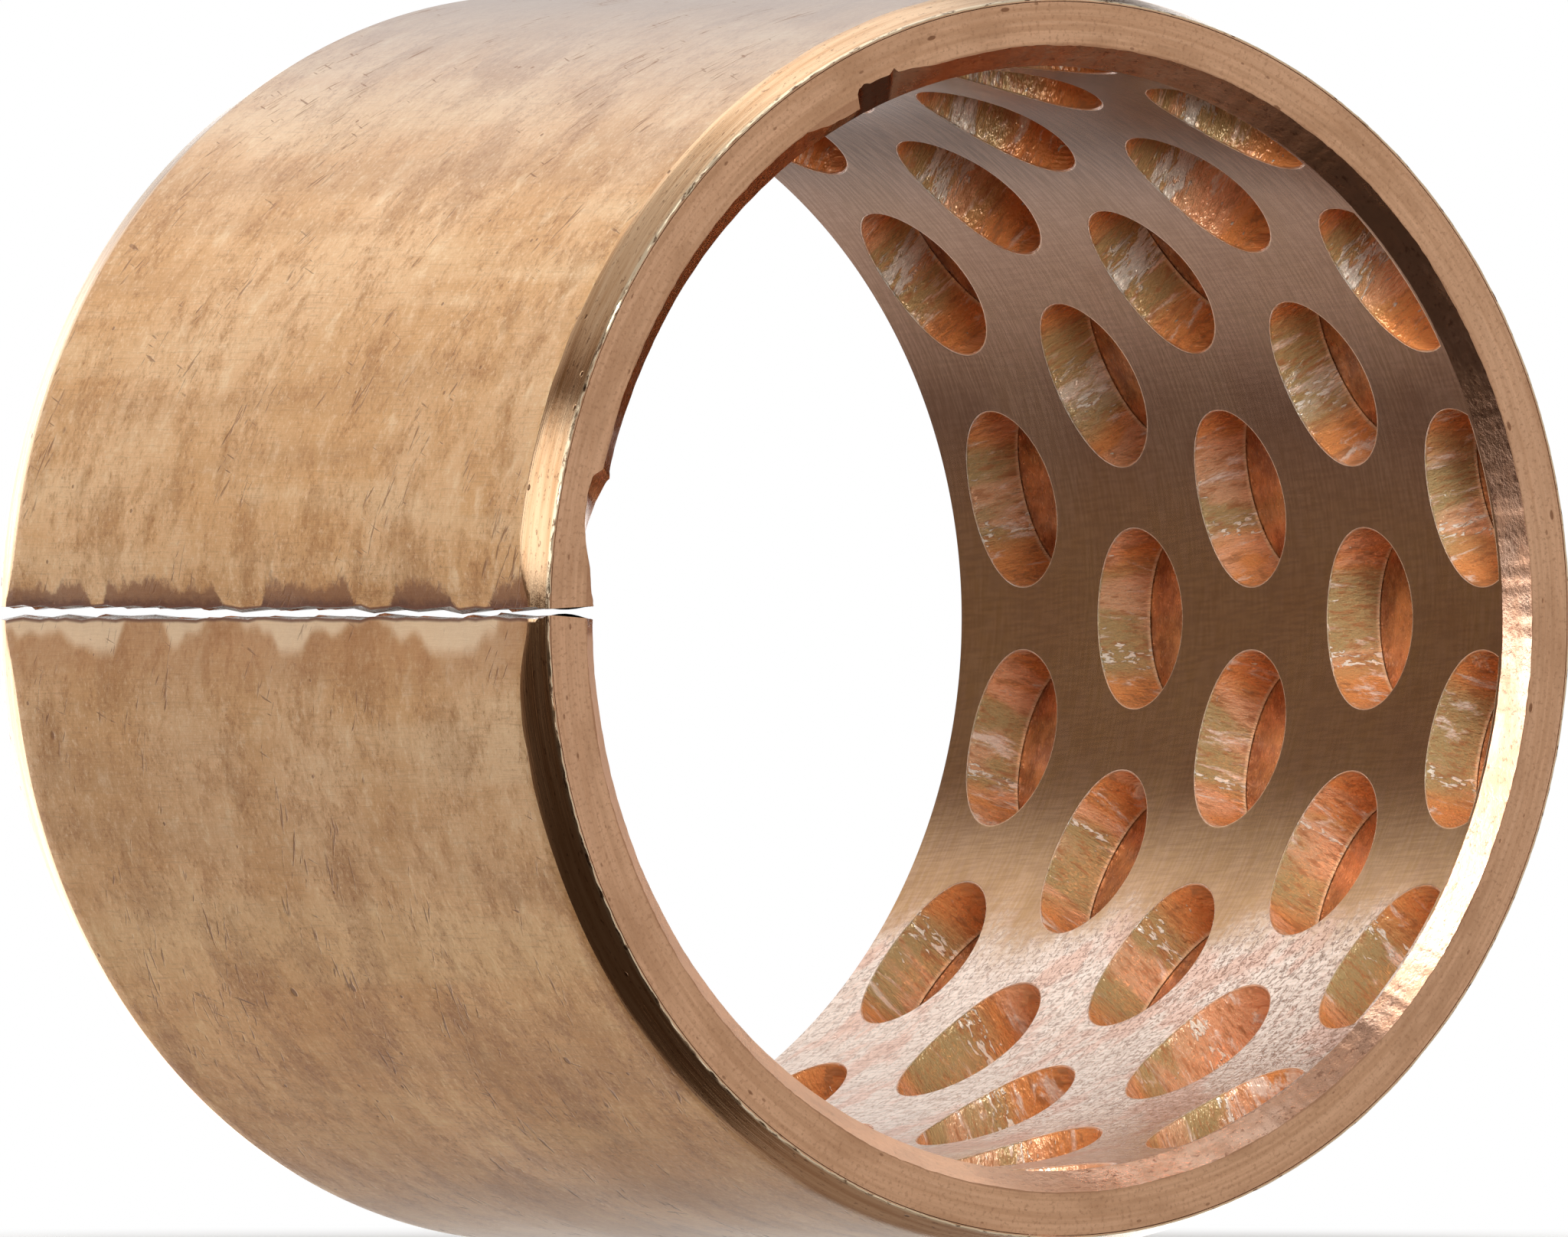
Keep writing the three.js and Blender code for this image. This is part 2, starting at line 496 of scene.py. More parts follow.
def build_shell(materials):
    skin = Skin()
    arc = angles * OUTER_R
    front_dip = joint_dip(angles, FRONT)
    back_dip = joint_dip(angles, BACK)
    slope = OUTER_CHAMFER_AXIAL / OUTER_CHAMFER_RADIAL

    # Front face, the thin burr round its edge and the turned chamfer behind it. The lip is
    # uneven, most of all beside the joint, and the cone behind it is smooth
    worn_side = through(np.abs(angles), [(0, 0.3), (95, 0.3), (125, 1.0), (180, 1.0)])
    uneven = 0.02 * ragged(arc, 0.16, 6) + 0.015 * ragged(arc, 0.9, 8, True)
    face_edge = FACE_OUTER_R + worn_side * uneven
    patchy = np.clip(0.6 + ragged(arc, 2.2, 10, True), 0, 1)
    burr = 0.014 * worn_side * (1 + ragged(arc, 0.17, 9)) * patchy
    lines = [
        skin.line(angles, SHELL_INNER_R, FRONT),
        skin.line(angles, face_edge - LIP_WIDTH, FRONT),
    ]
    skin.band(lines, SHELL_FACE)
    bevel_end = FRONT + (OUTER_CHAMFER_RADIAL - front_dip) * slope
    bevel_end = bevel_end + 0.02 * ragged(arc, 0.7, 7, True)
    bevel = [lines[-1], skin.line(angles, face_edge, FRONT - burr)]
    for y in CONE_START:
        bevel.append(skin.line(angles, FACE_OUTER_R + y / slope, FRONT + y))
    smooth_from = CONE_START[-1]
    for t in np.linspace(0, 1, 6)[1:]:
        y = FRONT + smooth_from + (bevel_end - FRONT - smooth_from) * t
        bevel.append(skin.line(angles, FACE_OUTER_R + (y - FRONT) / slope, y))
    skin.band(bevel, END_BEVEL)

    back_end = BACK - (OUTER_CHAMFER_RADIAL - back_dip) * slope
    body = [bevel[-1]]
    for t in np.linspace(0, 1, BODY_LINES)[1:]:
        y = bevel_end + (back_end - bevel_end) * t
        body.append(skin.line(angles, OUTER_R - joint_dip(angles, y), y))
    skin.band(body, OUTSIDE)
    back = [body[-1]]
    for t in np.linspace(0, 1, 4)[1:]:
        radius = OUTER_R - back_dip + (FACE_OUTER_R - OUTER_R + back_dip) * t
        back.append(skin.line(angles, radius, back_end + (BACK - back_end) * t))
    skin.band(back, END_BEVEL)
    back_face = [back[-1], skin.line(angles, SHELL_INNER_R, BACK)]
    skin.band(back_face, SHELL_FACE)
    inside = [back_face[-1]]
    for y in spread(FRONT, BACK, 1.0)[::-1]:
        inside.append(skin.line(angles, SHELL_INNER_R, y))
    inside.append(lines[0])
    skin.band(inside, INSIDE)
    for end in (0, -1):
        section = lines + bevel[1:] + body[1:] + back[1:] + back_face[1:] + inside[1:-1]
        cap(skin, [line[end] for line in section], SHELL_JOINT)
    return skin.make("rolled_shell", materials)


# ---------------------------------------------------------------- materials

class Metal:
    """A metal built from nodes over the unrolled strip: x round it, y along it, z the radius."""

    def __init__(self, name, metallic=1.0):
        self.material = bpy.data.materials.new(name)
        self.material.use_nodes = True
        self.tree = self.material.node_tree
        self.shader = self.tree.nodes["Principled BSDF"]
        self.shader.inputs["Metallic"].default_value = metallic
        self.flat = self.attribute("unrolled")

    def node(self, kind, inputs=(), **settings):
        node = self.tree.nodes.new(kind)
        for key, value in settings.items():
            setattr(node, key, value)
        for key, value in dict(inputs).items():
            self.feed(node.inputs[key], value)
        return node

    def feed(self, socket, value):
        if isinstance(value, bpy.types.NodeSocket):
            self.tree.links.new(value, socket)
        else:
            socket.default_value = value

    def attribute(self, name, output="Vector"):
        return self.node("ShaderNodeAttribute", attribute_name=name).outputs[output]

    def stretched(self, scale, turn=0.0, source=None):
        """The strip's coordinates, turned in its plane, then scaled: a grain with a direction."""
        vector = source or self.flat
        if turn:
            vector = self.node("ShaderNodeVectorRotate", {
                "Vector": vector, "Angle": math.radians(turn),
            }, rotation_type="Z_AXIS").outputs["Vector"]
        node = self.node("ShaderNodeVectorMath", {0: vector}, operation="MULTIPLY")
        node.inputs[1].default_value = scale
        return node.outputs["Vector"]

    def noise(self, scale, detail=3.0, roughness=0.55, turn=0.0, distortion=0.0, source=None):
        """Noise from 0 to 1; scale is features per mm in each direction."""
        coordinates = self.stretched(scale, turn, source)
        return self.node("ShaderNodeTexNoise", {
            "Vector": coordinates, "Scale": 1.0, "Detail": detail, "Roughness": roughness,
            "Distortion": distortion,
        }).outputs["Fac"]

    def span(self, value, low, high, to_low=0.0, to_high=1.0):
        """value eased from low..high to to_low..to_high."""
        return self.node("ShaderNodeMapRange", {
            "Value": value, "From Min": low, "From Max": high, "To Min": to_low, "To Max": to_high,
        }, interpolation_type="SMOOTHSTEP").outputs["Result"]

    def math(self, operation, first, second=0.0):
        node = self.node("ShaderNodeMath", operation=operation)
        self.feed(node.inputs[0], first)
        self.feed(node.inputs[1], second)
        return node.outputs[0]

    def spots(self, scale, size, share, turn=0.0):
        """1 in scattered pits: size is a part of their spacing, share how many places have one."""
        places = self.stretched(scale, turn)
        cells = self.node("ShaderNodeTexVoronoi", {"Vector": places, "Scale": 1.0})
        near = self.span(cells.outputs["Distance"], size, size * 0.6)
        chosen = self.math("LESS_THAN", self.separate(cells.outputs["Color"])[0], share)
        return self.math("MULTIPLY", near, chosen)

    def separate(self, vector):
        return self.node("ShaderNodeSeparateXYZ", {"Vector": vector}).outputs

    def mix(self, factor, first, second, blend="MIX"):
        """first where factor is 0, second where it is 1. Both are colours or sockets."""
        node = self.node("ShaderNodeMix", data_type="RGBA", blend_type=blend)
        self.feed(node.inputs["Factor"], factor)
        for socket, value in ((node.inputs[6], first), (node.inputs[7], second)):
            plain = not isinstance(value, bpy.types.NodeSocket)
            self.feed(socket, (*value, 1) if plain else value)
        return node.outputs[2]

    def finish(self, color, roughness, height=None, depth=0.01, **constants):
        """depth is the bump's height in mm."""
        self.feed(self.shader.inputs["Base Color"], color)
        self.feed(self.shader.inputs["Roughness"], roughness)
        if height is not None:
            relief = self.node("ShaderNodeBump", {
                "Height": height, "Distance": depth * MM, "Strength": 1.0,
            })
            self.tree.links.new(relief.outputs["Normal"], self.shader.inputs["Normal"])
            self.tree.links.new(relief.outputs["Normal"], self.shader.inputs["Coat Normal"])
        for key, value in constants.items():
            self.shader.inputs[key.replace("_", " ")].default_value = value
        return self.material

    def total(self, *terms):
        """The sum of (value, weight) pairs."""
        result = 0.0
        for value, weight in terms:
            result = self.math("ADD", result, self.math("MULTIPLY", value, weight))
        return result


def outside_metal():
    """Rolled tan bronze: mottled and stained, with scratches, pits and smudges by the joint."""
    m = Metal("rolled_tan_bronze", 0.75)
    clouds = m.noise((0.13, 0.2, 0.2), 4, 0.55)
    smears = m.noise((0.26, 0.5, 0.3), 4, 0.6, -6)
    belts = m.noise((0.3, 0.03, 0), 3, 0.6)
    mottle = m.noise((0.7, 1.1, 1), 8, 0.72, -10)
    grain = m.noise((2.2, 2.8, 2), 6, 0.8, 20, 0.4)
    speckle = m.noise((6, 8, 3), 4, 0.8)
    lines = m.noise((13, 0.6, 1), 4, 0.75)
    color = m.mix(m.span(clouds, 0.4, 0.6), (0.88, 0.555, 0.29), (0.78, 0.45, 0.20))
    color = m.mix(m.span(mottle, 0.5, 0.62, 0, 0.6), color, (0.62, 0.31, 0.115))
    color = m.mix(m.span(mottle, 0.46, 0.34, 0, 0.6), color, (1.0, 0.75, 0.47))
    color = m.mix(m.span(smears, 0.53, 0.64, 0, 0.65), color, (0.56, 0.28, 0.10))
    color = m.mix(m.span(belts, 0.5, 0.62, 0, 0.35), color, (0.55, 0.29, 0.12))
    color = m.mix(m.span(belts, 0.48, 0.38, 0, 0.35), color, (1.0, 0.74, 0.45))
    brown = m.span(m.total((mottle, 0.6), (smears, 0.4)), 0.44, 0.56, 0.2, 1.0)
    grainy = m.math("MULTIPLY", m.span(grain, 0.5, 0.62, 0, 0.5), brown)
    color = m.mix(grainy, color, (0.48, 0.22, 0.07))
    color = m.mix(m.span(grain, 0.46, 0.34, 0, 0.4), color, (1.0, 0.77, 0.50))
    speckled = m.math("MULTIPLY", m.span(speckle, 0.54, 0.66, 0, 0.7), brown)
    color = m.mix(speckled, color, (0.38, 0.16, 0.05))
    color = m.mix(m.span(speckle, 0.45, 0.35, 0, 0.4), color, (1.0, 0.80, 0.54))
    color = m.mix(m.span(lines, 0.52, 0.68, 0, 0.3), color, (0.42, 0.21, 0.09))

    # The visible underside is a little redder. The very top is painted paler as a painted sheen,
    # and the very bottom is made darker and greyer
    around = m.separate(m.flat)[0]
    above = m.math("GREATER_THAN", around, 0.0)
    below = m.math("SUBTRACT", 1.0, above)
    under = m.math("MULTIPLY", m.span(around, -47.0, -38.0), m.span(around, -14.0, -24.0))
    color = m.mix(under, color, (1.07, 0.95, 0.69), "MULTIPLY")
    far = m.math("ABSOLUTE", around)
    reach = m.math("ADD", far, m.math("MULTIPLY", below, 5.0))
    # Painted sheen at the very top; darker and greyer at the very bottom
    sheen_top_dark_bottom = m.math("MULTIPLY", m.span(reach, 41.0, 27.0, 0, 0.8), m.span(far, 18.0, 24.0))
    sheen_top_dark_bottom_tone = m.mix(above, (1.0, 0.93, 0.80), (0.52, 0.48, 0.47))
    color = m.mix(sheen_top_dark_bottom, color, sheen_top_dark_bottom_tone)

    # Beside the butt joint: brown smudges above it, and below it cream waves that are painted
    # highlights
    off_joint = m.math("SUBTRACT", PI * OUTER_R, m.math("ABSOLUTE", around))
    height = m.span(m.noise((0, 0.28, 0), 1, 0.5), 0.42, 0.5, -0.15, 0.85)
    uneven = m.total((m.math("SUBTRACT", mottle, 0.5), 1.6), (m.math("SUBTRACT", grain, 0.5), 0.9))
    level = m.math("SUBTRACT", m.math("ADD", off_joint, uneven), height)
    smudge = m.math("MULTIPLY", m.span(level, 0.2, -0.16), above)
    color = m.mix(m.math("MULTIPLY", smudge, 0.85), color, (0.31, 0.125, 0.05))
    close = m.span(m.total((off_joint, 1.0), (grain, 1.0)), 1.1, 0.5, 0, 0.9)
    color = m.mix(m.math("MULTIPLY", smudge, close), color, (0.14, 0.045, 0.02))
    # Painted highlight: cream waves just below the joint
    wave = m.span(m.noise((0.1, 0.3, 0), 2, 0.5), 0.4, 0.6, 0.95, 0.0)
    pale = m.span(m.math("SUBTRACT", off_joint, wave), 0.2, -0.3)
    pale = m.math("MULTIPLY", pale, m.math("MULTIPLY", below, 0.8))
    color = m.mix(pale, color, (1.0, 0.78, 0.53))
    stain = m.math("MULTIPLY", m.span(off_joint, 2.4, 0.4, 0, 0.6), below)
    stain = m.math("MULTIPLY", stain, m.math("SUBTRACT", 1.0, pale))
    color = m.mix(stain, color, (0.47, 0.22, 0.09))
    lip = m.span(off_joint, 0.12, 0.04, 0, 0.9)
    color = m.mix(lip, color, (0.20, 0.075, 0.04))

    # Scratches in three directions, pits and dots
    slant = m.span(m.noise((0.9, 7, 1), 3, 0.55, -30), 0.6, 0.66)
    steep = m.span(m.noise((0.6, 6, 1), 3, 0.55, -14), 0.6, 0.66)
    level_ones = m.span(m.noise((8, 0.7, 1), 2, 0.5, -20), 0.66, 0.71)
    where = m.span(m.noise((0.3, 0.6, 0.4), 4, 0.65), 0.53, 0.61)
    scratches = m.math("MAXIMUM", m.math("MAXIMUM", slant, steep), level_ones)
    scratches = m.math("MULTIPLY", scratches, where)
    pits = m.spots((0.42, 0.5, 0.5), 0.07, 0.3)
    dots = m.spots((1.6, 1.6, 1), 0.11, 0.12)
    marks = m.math("MAXIMUM", m.math("MAXIMUM", scratches, pits), dots)
    color = m.mix(m.math("MULTIPLY", marks, 0.75), color, (0.28, 0.115, 0.04))
    roughness = m.span(m.total((clouds, 0.4), (speckle, 0.6)), 0.3, 0.7, 0.42, 0.6)
    relief = m.total((speckle, 0.25), (grain, 0.5), (mottle, 1.4), (lines, 0.6), (marks, -0.6),
                     (smears, 0.8))
    return m.finish(color, roughness, relief, 0.014, Coat_Weight=0.3, Coat_Roughness=0.35)


def joint_metal():
    """The sheared walls of the butt joint: near-white metal, its paleness a painted highlight,
    with fine shear lines.
    """
    m = Metal("sheared_joint_bronze", 0.6)
    shear = m.noise((1, 9, 2), 3, 0.6)
    torn = m.noise((1, 1.2, 5), 4, 0.6)
    # The near-white base is a painted highlight on the sheared walls
    color = m.mix(m.span(shear, 0.35, 0.65), (0.95, 0.92, 0.90), (0.62, 0.54, 0.48))
    color = m.mix(m.span(torn, 0.52, 0.62, 0, 0.75), color, (0.33, 0.19, 0.13))
    roughness = m.span(shear, 0.3, 0.7, 0.2, 0.4)
    return m.finish(color, roughness, m.total((shear, 1.0), (torn, 1.0)), 0.02)


def end_bevel_metal():
    """The polished, turned outer chamfer: fine rings, brown specks, a painted highlight in pale
    gold along its edge, and a dark chipped edge.
    """
    m = Metal("turned_bevel_bronze")
    radius = m.separate(m.flat)[2]
    rings = m.noise((0.1, 30, 1), 3, 0.65)
    wide = m.noise((0.25, 5, 1), 3, 0.6)
    color = m.mix(m.span(wide, 0.35, 0.7), (0.90, 0.60, 0.36), (0.68, 0.39, 0.20))
    specks = m.noise((4, 11, 1), 3, 0.7)
    color = m.mix(m.span(specks, 0.58, 0.7, 0, 0.7), color, (0.26, 0.12, 0.06))
    chips = m.span(m.noise((2.2, 6, 6), 3, 0.7), 0.54, 0.62)
    by_edge = m.span(radius, FACE_OUTER_R + 0.035, FACE_OUTER_R + 0.015)
    # Painted highlight: a pale gold line along the burr at the edge
    color = m.mix(by_edge, color, (1.0, 0.80, 0.55))
    chipped = m.math("MULTIPLY", chips, m.math("MULTIPLY", by_edge, 0.85))
    color = m.mix(chipped, color, (0.17, 0.07, 0.03))
    pits = m.spots((1.3, 2.2, 1), 0.13, 0.22)
    color = m.mix(m.math("MULTIPLY", pits, 0.8), color, (0.16, 0.07, 0.03))
    roughness = m.span(rings, 0.3, 0.7, 0.05, 0.12)
    return m.finish(color, roughness, m.total((rings, 1.0), (pits, -1.5), (specks, 0.6)), 0.004)


def face_metal(name="turned_face_bronze"):
    """The smooth end face: pinkish bronze with faint rings and stains and a few pits."""
    m = Metal(name, 0.9)
    radius = m.separate(m.flat)[2]
    rings = m.noise((0.1, 0, 7), 3, 0.6)
    fine = m.noise((0.5, 1, 30), 2, 0.6)
    stain = m.noise((0.3, 0, 0.9), 4, 0.6)
    grain = m.noise((8, 0, 8), 3, 0.7)
    color = m.mix(m.span(rings, 0.32, 0.7), (0.79, 0.47, 0.285), (0.64, 0.36, 0.205))
    color = m.mix(m.span(stain, 0.46, 0.66, 0, 0.7), color, (0.55, 0.30, 0.165))
    color = m.mix(m.span(grain, 0.5, 0.68, 0, 0.6), color, (0.44, 0.225, 0.12))
    uneven = m.math("SUBTRACT", radius, m.math("MULTIPLY", stain, 0.12))
    inner = m.span(uneven, FACE_INNER_R, FACE_INNER_R - 0.05)
    color = m.mix(m.math("MULTIPLY", inner, 0.6), color, (0.40, 0.19, 0.10))
    pits = m.spots((0.75, 1, 1.9), 0.13, 0.22)
    small = m.spots((2.2, 1, 4.5), 0.2, 0.14)
    marks = m.math("MAXIMUM", pits, m.math("MULTIPLY", small, 0.7))
    color = m.mix(m.math("MULTIPLY", marks, 0.8), color, (0.22, 0.09, 0.04))
    roughness = m.span(fine, 0.3, 0.7, 0.32, 0.44)
    relief = m.total((rings, 0.3), (fine, 0.3), (grain, 0.6), (marks, -1.2))
    return m.finish(color, roughness, relief, 0.004)


def bore_bevel_metal():
    """The inner chamfer: bright metal under a thin maroon film, with painted shade darkening the
    notch near the top, and matt from wear at the lower left."""
    m = Metal("bore_bevel_bronze")
    cloud = m.noise((0.5, 1.5, 1.5), 5, 0.7)
    speck = m.noise((5, 9, 9), 3, 0.7)
    color = m.mix(m.span(cloud, 0.35, 0.65), (0.88, 0.56, 0.40), (0.68, 0.38, 0.24))
    color = m.mix(m.span(speck, 0.56, 0.68, 0, 0.7), color, (0.34, 0.15, 0.09))
    around = m.separate(m.flat)[0]
    # Painted shade: the notch near the top is coloured dark
    notch = m.math("MULTIPLY", m.span(around, 30.8, 31.0), m.span(around, 32.5, 32.3, 0, 0.85))
    color = m.mix(notch, color, (0.15, 0.065, 0.04))
    matt = m.math("MULTIPLY", m.span(around, -23.0, -29.0), m.span(around, -50.2, -49.6))
    color = m.mix(m.math("MULTIPLY", matt, 0.7), color, (1.0, 0.72, 0.52))
    roughness = m.span(cloud, 0.3, 0.7, 0.14, 0.3)
    roughness = m.math("ADD", roughness, m.math("MULTIPLY", matt, 0.45))
    return m.finish(color, roughness, m.total((cloud, 1.0), (speck, 0.8)), 0.012)


def bore_metal():
    """The bearing surface: mauve-brown bronze with a fine crossed grain, darkened at the top as
    painted shade, painted paler on its lower side as a painted sheen, and crinkled there with dark
    lines of painted shade."""
    m = Metal("bore_bronze")
    around = m.separate(m.flat)[0]
    across = m.noise((0.9, 9, 1), 2, 0.5, 3)
    along = m.noise((9, 0.9, 1), 2, 0.5, -4)
    cloud = m.noise((0.22, 0.3, 0.2), 4, 0.6)
    smear = m.noise((0.35, 0.6, 0.4), 4, 0.6, 30)
    creases = m.noise((3.2, 4.2, 1), 3, 0.6, 25, 0.8)
    color = m.mix(m.span(cloud, 0.35, 0.65), (0.58, 0.335, 0.165), (0.50, 0.28, 0.12))
    upper = m.span(m.math("ADD", around, m.math("MULTIPLY", cloud, 4.0)), 3.0, 8.0)
    upper = m.math("MULTIPLY", upper, m.span(around, 47.0, 38.0))
    color = m.mix(upper, color, (0.80, 0.78, 1.0), "MULTIPLY")
    # Painted shade: the top of the bore is darkened
    roof_painted_shade = m.math("MULTIPLY", m.span(around, 12.0, 17.0), m.span(around, 44.0, 34.0))
    color = m.mix(roof_painted_shade, color, (0.46, 0.40, 0.38), "MULTIPLY")
    # Painted sheen: the lower side is made much paler; its crinkles, stains and scratches are
    # marks on it
    edge = m.total((around, 1.0), (cloud, 5.0), (creases, 2.5))
    painted_sheen_band = m.math("MULTIPLY", m.span(edge, -4.6, -7.4, 0, 0.92), m.span(edge, -42.0, -34.0))
    color = m.mix(painted_sheen_band, color, (0.88, 0.73, 0.63))
    # Painted shade: dark lines in the crinkles
    crinkles = m.span(m.noise((5, 7, 1), 3, 0.65, 20, 1.0), 0.52, 0.66)
    crinkles = m.math("MULTIPLY", crinkles, painted_sheen_band)
    color = m.mix(m.math("MULTIPLY", crinkles, 0.5), color, (0.50, 0.28, 0.21))
    stain = m.math("MULTIPLY", m.span(smear, 0.5, 0.6), painted_sheen_band)
    color = m.mix(m.math("MULTIPLY", stain, 0.55), color, (0.86, 0.46, 0.34))
    color = m.mix(m.span(smear, 0.5, 0.7, 0, 0.25), color, (0.40, 0.20, 0.095))
    color = m.mix(m.span(across, 0.38, 0.62, 0, 0.22), color, (0.74, 0.48, 0.35))
    color = m.mix(m.span(along, 0.4, 0.62, 0, 0.22), color, (0.30, 0.15, 0.08))
    scratch = m.span(m.noise((0.5, 9, 1), 2, 0.5, 55), 0.66, 0.7, 0, 0.5)
    color = m.mix(m.math("MULTIPLY", scratch, painted_sheen_band), color, (0.35, 0.16, 0.12))
    roughness = m.span(cloud, 0.3, 0.7, 0.21, 0.27)
    deep = m.math("MULTIPLY", painted_sheen_band, 4.0)
    relief = m.total((across, 0.5), (along, 0.5), (m.math("MULTIPLY", creases, deep), 1.0),
                     (crinkles, -2.5))
    return m.finish(color, roughness, relief, 0.0035)


def pocket_metal():
    """Pocket walls with painted reflections: orange ends, olive middles and pink bands; pale
    streaks, bright lines at the rim and the floor, and glints are painted highlights.
    """
    m = Metal("pocket_wall_bronze", 0.35)
    place_in = m.attribute("pocket")
    around = m.separate(m.flat)[0]
    across, depth = m.separate(place_in)[0:2]
    streaks = m.noise((4.5, 0.9, 7), 5, 0.75, 0, 0.6, place_in)
    bands = m.noise((1.3, 0.3, 9), 3, 0.55, 0, 0.3, place_in)
    fine = m.noise((16, 3.5, 7), 3, 0.7, 0, 0, place_in)
    ripples = m.noise((24, 11, 7), 2, 0.6, 0, 0, place_in)
    # Painted reflections: orange towards the ends, olive in the middle, with pink bands; the pale
    # streaks are painted highlights
    uneven = m.math("MULTIPLY", m.math("SUBTRACT", bands, 0.5), 1.2)
    ends = m.math("ADD", m.math("ABSOLUTE", across), uneven)
    color = m.mix(m.span(ends, 0.35, 0.8), (0.50, 0.36, 0.165), (0.86, 0.34, 0.11))
    color = m.mix(m.span(bands, 0.52, 0.6, 0, 0.6), color, (0.95, 0.52, 0.32))
    color = m.mix(m.span(fine, 0.48, 0.66, 0, 0.75), color, (0.44, 0.18, 0.07))
    color = m.mix(m.span(streaks, 0.55, 0.66, 0, 0.8), color, (1.0, 0.82, 0.68))
    # Painted highlights: bright lines at the rim and where the wall meets the floor
    color = m.mix(m.span(depth, 0.14, 0.02, 0, 0.65), color, (1.0, 0.72, 0.52))
    color = m.mix(m.span(depth, 0.94, 0.99, 0, 0.75), color, (1.0, 0.74, 0.46))

    # Painted glints: a thin band low in the middle rows, a wide streaked one in the upper rows
    dashes = m.noise((22, 6, 5), 2, 0.5, 0, 0.4, place_in)
    brushed = m.noise((9, 2.2, 5), 4, 0.7, 12, 0.8, place_in)
    upper = m.span(around, 5.0, 9.0)
    centre = m.math("ADD", m.span(around, -4.4, -6.4, -0.42, 0.5), m.math("MULTIPLY", upper, 0.4))
    away = m.math("ABSOLUTE", m.math("SUBTRACT", across, centre))
    patch = m.math("ADD", away, m.math("MULTIPLY", m.math("SUBTRACT", streaks, 0.5), 0.5))
    thin = m.span(m.math("SUBTRACT", dashes, m.span(patch, 0.2, 0.02, 0.72, 0.53)), 0.0, 0.03)
    wide = m.span(m.math("SUBTRACT", brushed, m.span(patch, 0.46, 0.1, 0.72, 0.42)), 0.0, 0.1)
    # Painted light: the upper rows are brightened
    color = m.mix(upper, color, (1.3, 1.2, 1.1), "MULTIPLY")
    wide = m.math("MULTIPLY", wide, m.math("MULTIPLY", upper, 0.9))
    painted_glint = m.math("MAXIMUM", m.math("MULTIPLY", thin, 0.95), wide)
    color = m.mix(painted_glint, color, (1.0, 0.91, 0.76))
    roughness = m.span(fine, 0.3, 0.7, 0.15, 0.38)
    relief = m.total((streaks, 1.2), (fine, 0.8), (bands, 1.2), (ripples, 0.7), (painted_glint, 0.5))
    return m.finish(color, roughness, relief, 0.07, Coat_Weight=0.8, Coat_Roughness=0.06)


def pocket_floor_metal():
    """The shell seen through the liner's holes: dark orange-brown with a few glints."""
    m = Metal("pocket_floor_bronze", 0.75)
    cloud = m.noise((1.1, 1.5, 1), 5, 0.7)
    fine = m.noise((5, 10, 1), 3, 0.65)
    color = m.mix(m.span(cloud, 0.35, 0.65), (0.30, 0.10, 0.035), (0.60, 0.24, 0.09))
    color = m.mix(m.span(fine, 0.56, 0.7, 0, 0.5), color, (0.75, 0.34, 0.15))
    roughness = m.span(fine, 0.3, 0.7, 0.22, 0.42)
    return m.finish(color, roughness, m.total((cloud, 1.0), (fine, 0.8)), 0.02,
                    Coat_Weight=0.3, Coat_Roughness=0.12)


sheared = joint_metal()
liner_materials = [
    bore_metal(), pocket_metal(), bore_bevel_metal(),
    face_metal(), pocket_floor_metal(), sheared,
]
shell_materials = [
    outside_metal(), end_bevel_metal(), face_metal("shell_face_bronze"),
    pocket_floor_metal(), sheared,
]

liner = build_liner(liner_materials)
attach(liner, "root")
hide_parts("perforated_liner")

shell = build_shell(shell_materials)
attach(shell, "root")
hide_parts("backing_shell")

# ---------------------------------------------------------------- studio

# Soft boxes of a light tent: direction, half-angles in degrees where it is full and where it
# ends, strength, and the side of the horizon it shines from (0 both, 1 above, 2 well above,
# -1 below)
SOFT_BOXES = [
    ((0.08, 0.83, 0.55), 16, 34, 0.93, 1),
    ((0.05, 1.00, -0.14), 12, 28, 2.0, 0),
    ((0.56, 0.83, -0.08), 10, 20, 1.5, 0),
    ((-0.56, 0.83, 0.00), 10, 34, 0.15, 0),
    ((-0.70, -0.52, 0.42), 22, 42, 2.4, 1),
    ((-0.42, -0.71, 0.56), 6, 9, 27.0, 1),
    ((-0.30, -0.95, 0.05), 6, 12, 12.5, 0),
    ((-0.88, 0.42, 0.20), 12, 20, 1.4, 2),
    ((-0.30, 0.52, 0.78), 16, 34, 0.45, 1),
    ((0.292, 0.60, -0.745), 10, 26, 0.2, -1),
    ((-0.56, -0.83, 0.00), 14, 32, 0.6, 0),
    ((0.56, -0.80, 0.20), 20, 60, 0.46, 0),
    ((0.45, 0.00, 0.88), 20, 50, 0.7, 1),
    ((0.56, 0.00, -0.83), 20, 45, 0.12, -1),
    ((-0.05, 0.83, -0.55), 10, 22, 0.28, -1),
    ((0.49, 0.83, -0.28), 8, 18, 0.4, -1),
]

# The tent between the boxes is dim and warm
TENT = 0.045
WARM = (1.0, 0.70, 0.52)

world = bpy.data.worlds.new("studio")
bpy.context.scene.world = world
world.use_nodes = True
sky = world.node_tree
sky.nodes.clear()
direction = sky.nodes.new("ShaderNodeTexCoord").outputs["Generated"]


def sky_math(operation, first, second):
    """One step of sky arithmetic on sockets or numbers."""
    node = sky.nodes.new("ShaderNodeMath")
    node.operation = operation
    for socket, value in zip(node.inputs, (first, second)):
        if isinstance(value, bpy.types.NodeSocket):
            sky.links.new(value, socket)
        else:
            socket.default_value = value
    return node.outputs[0]


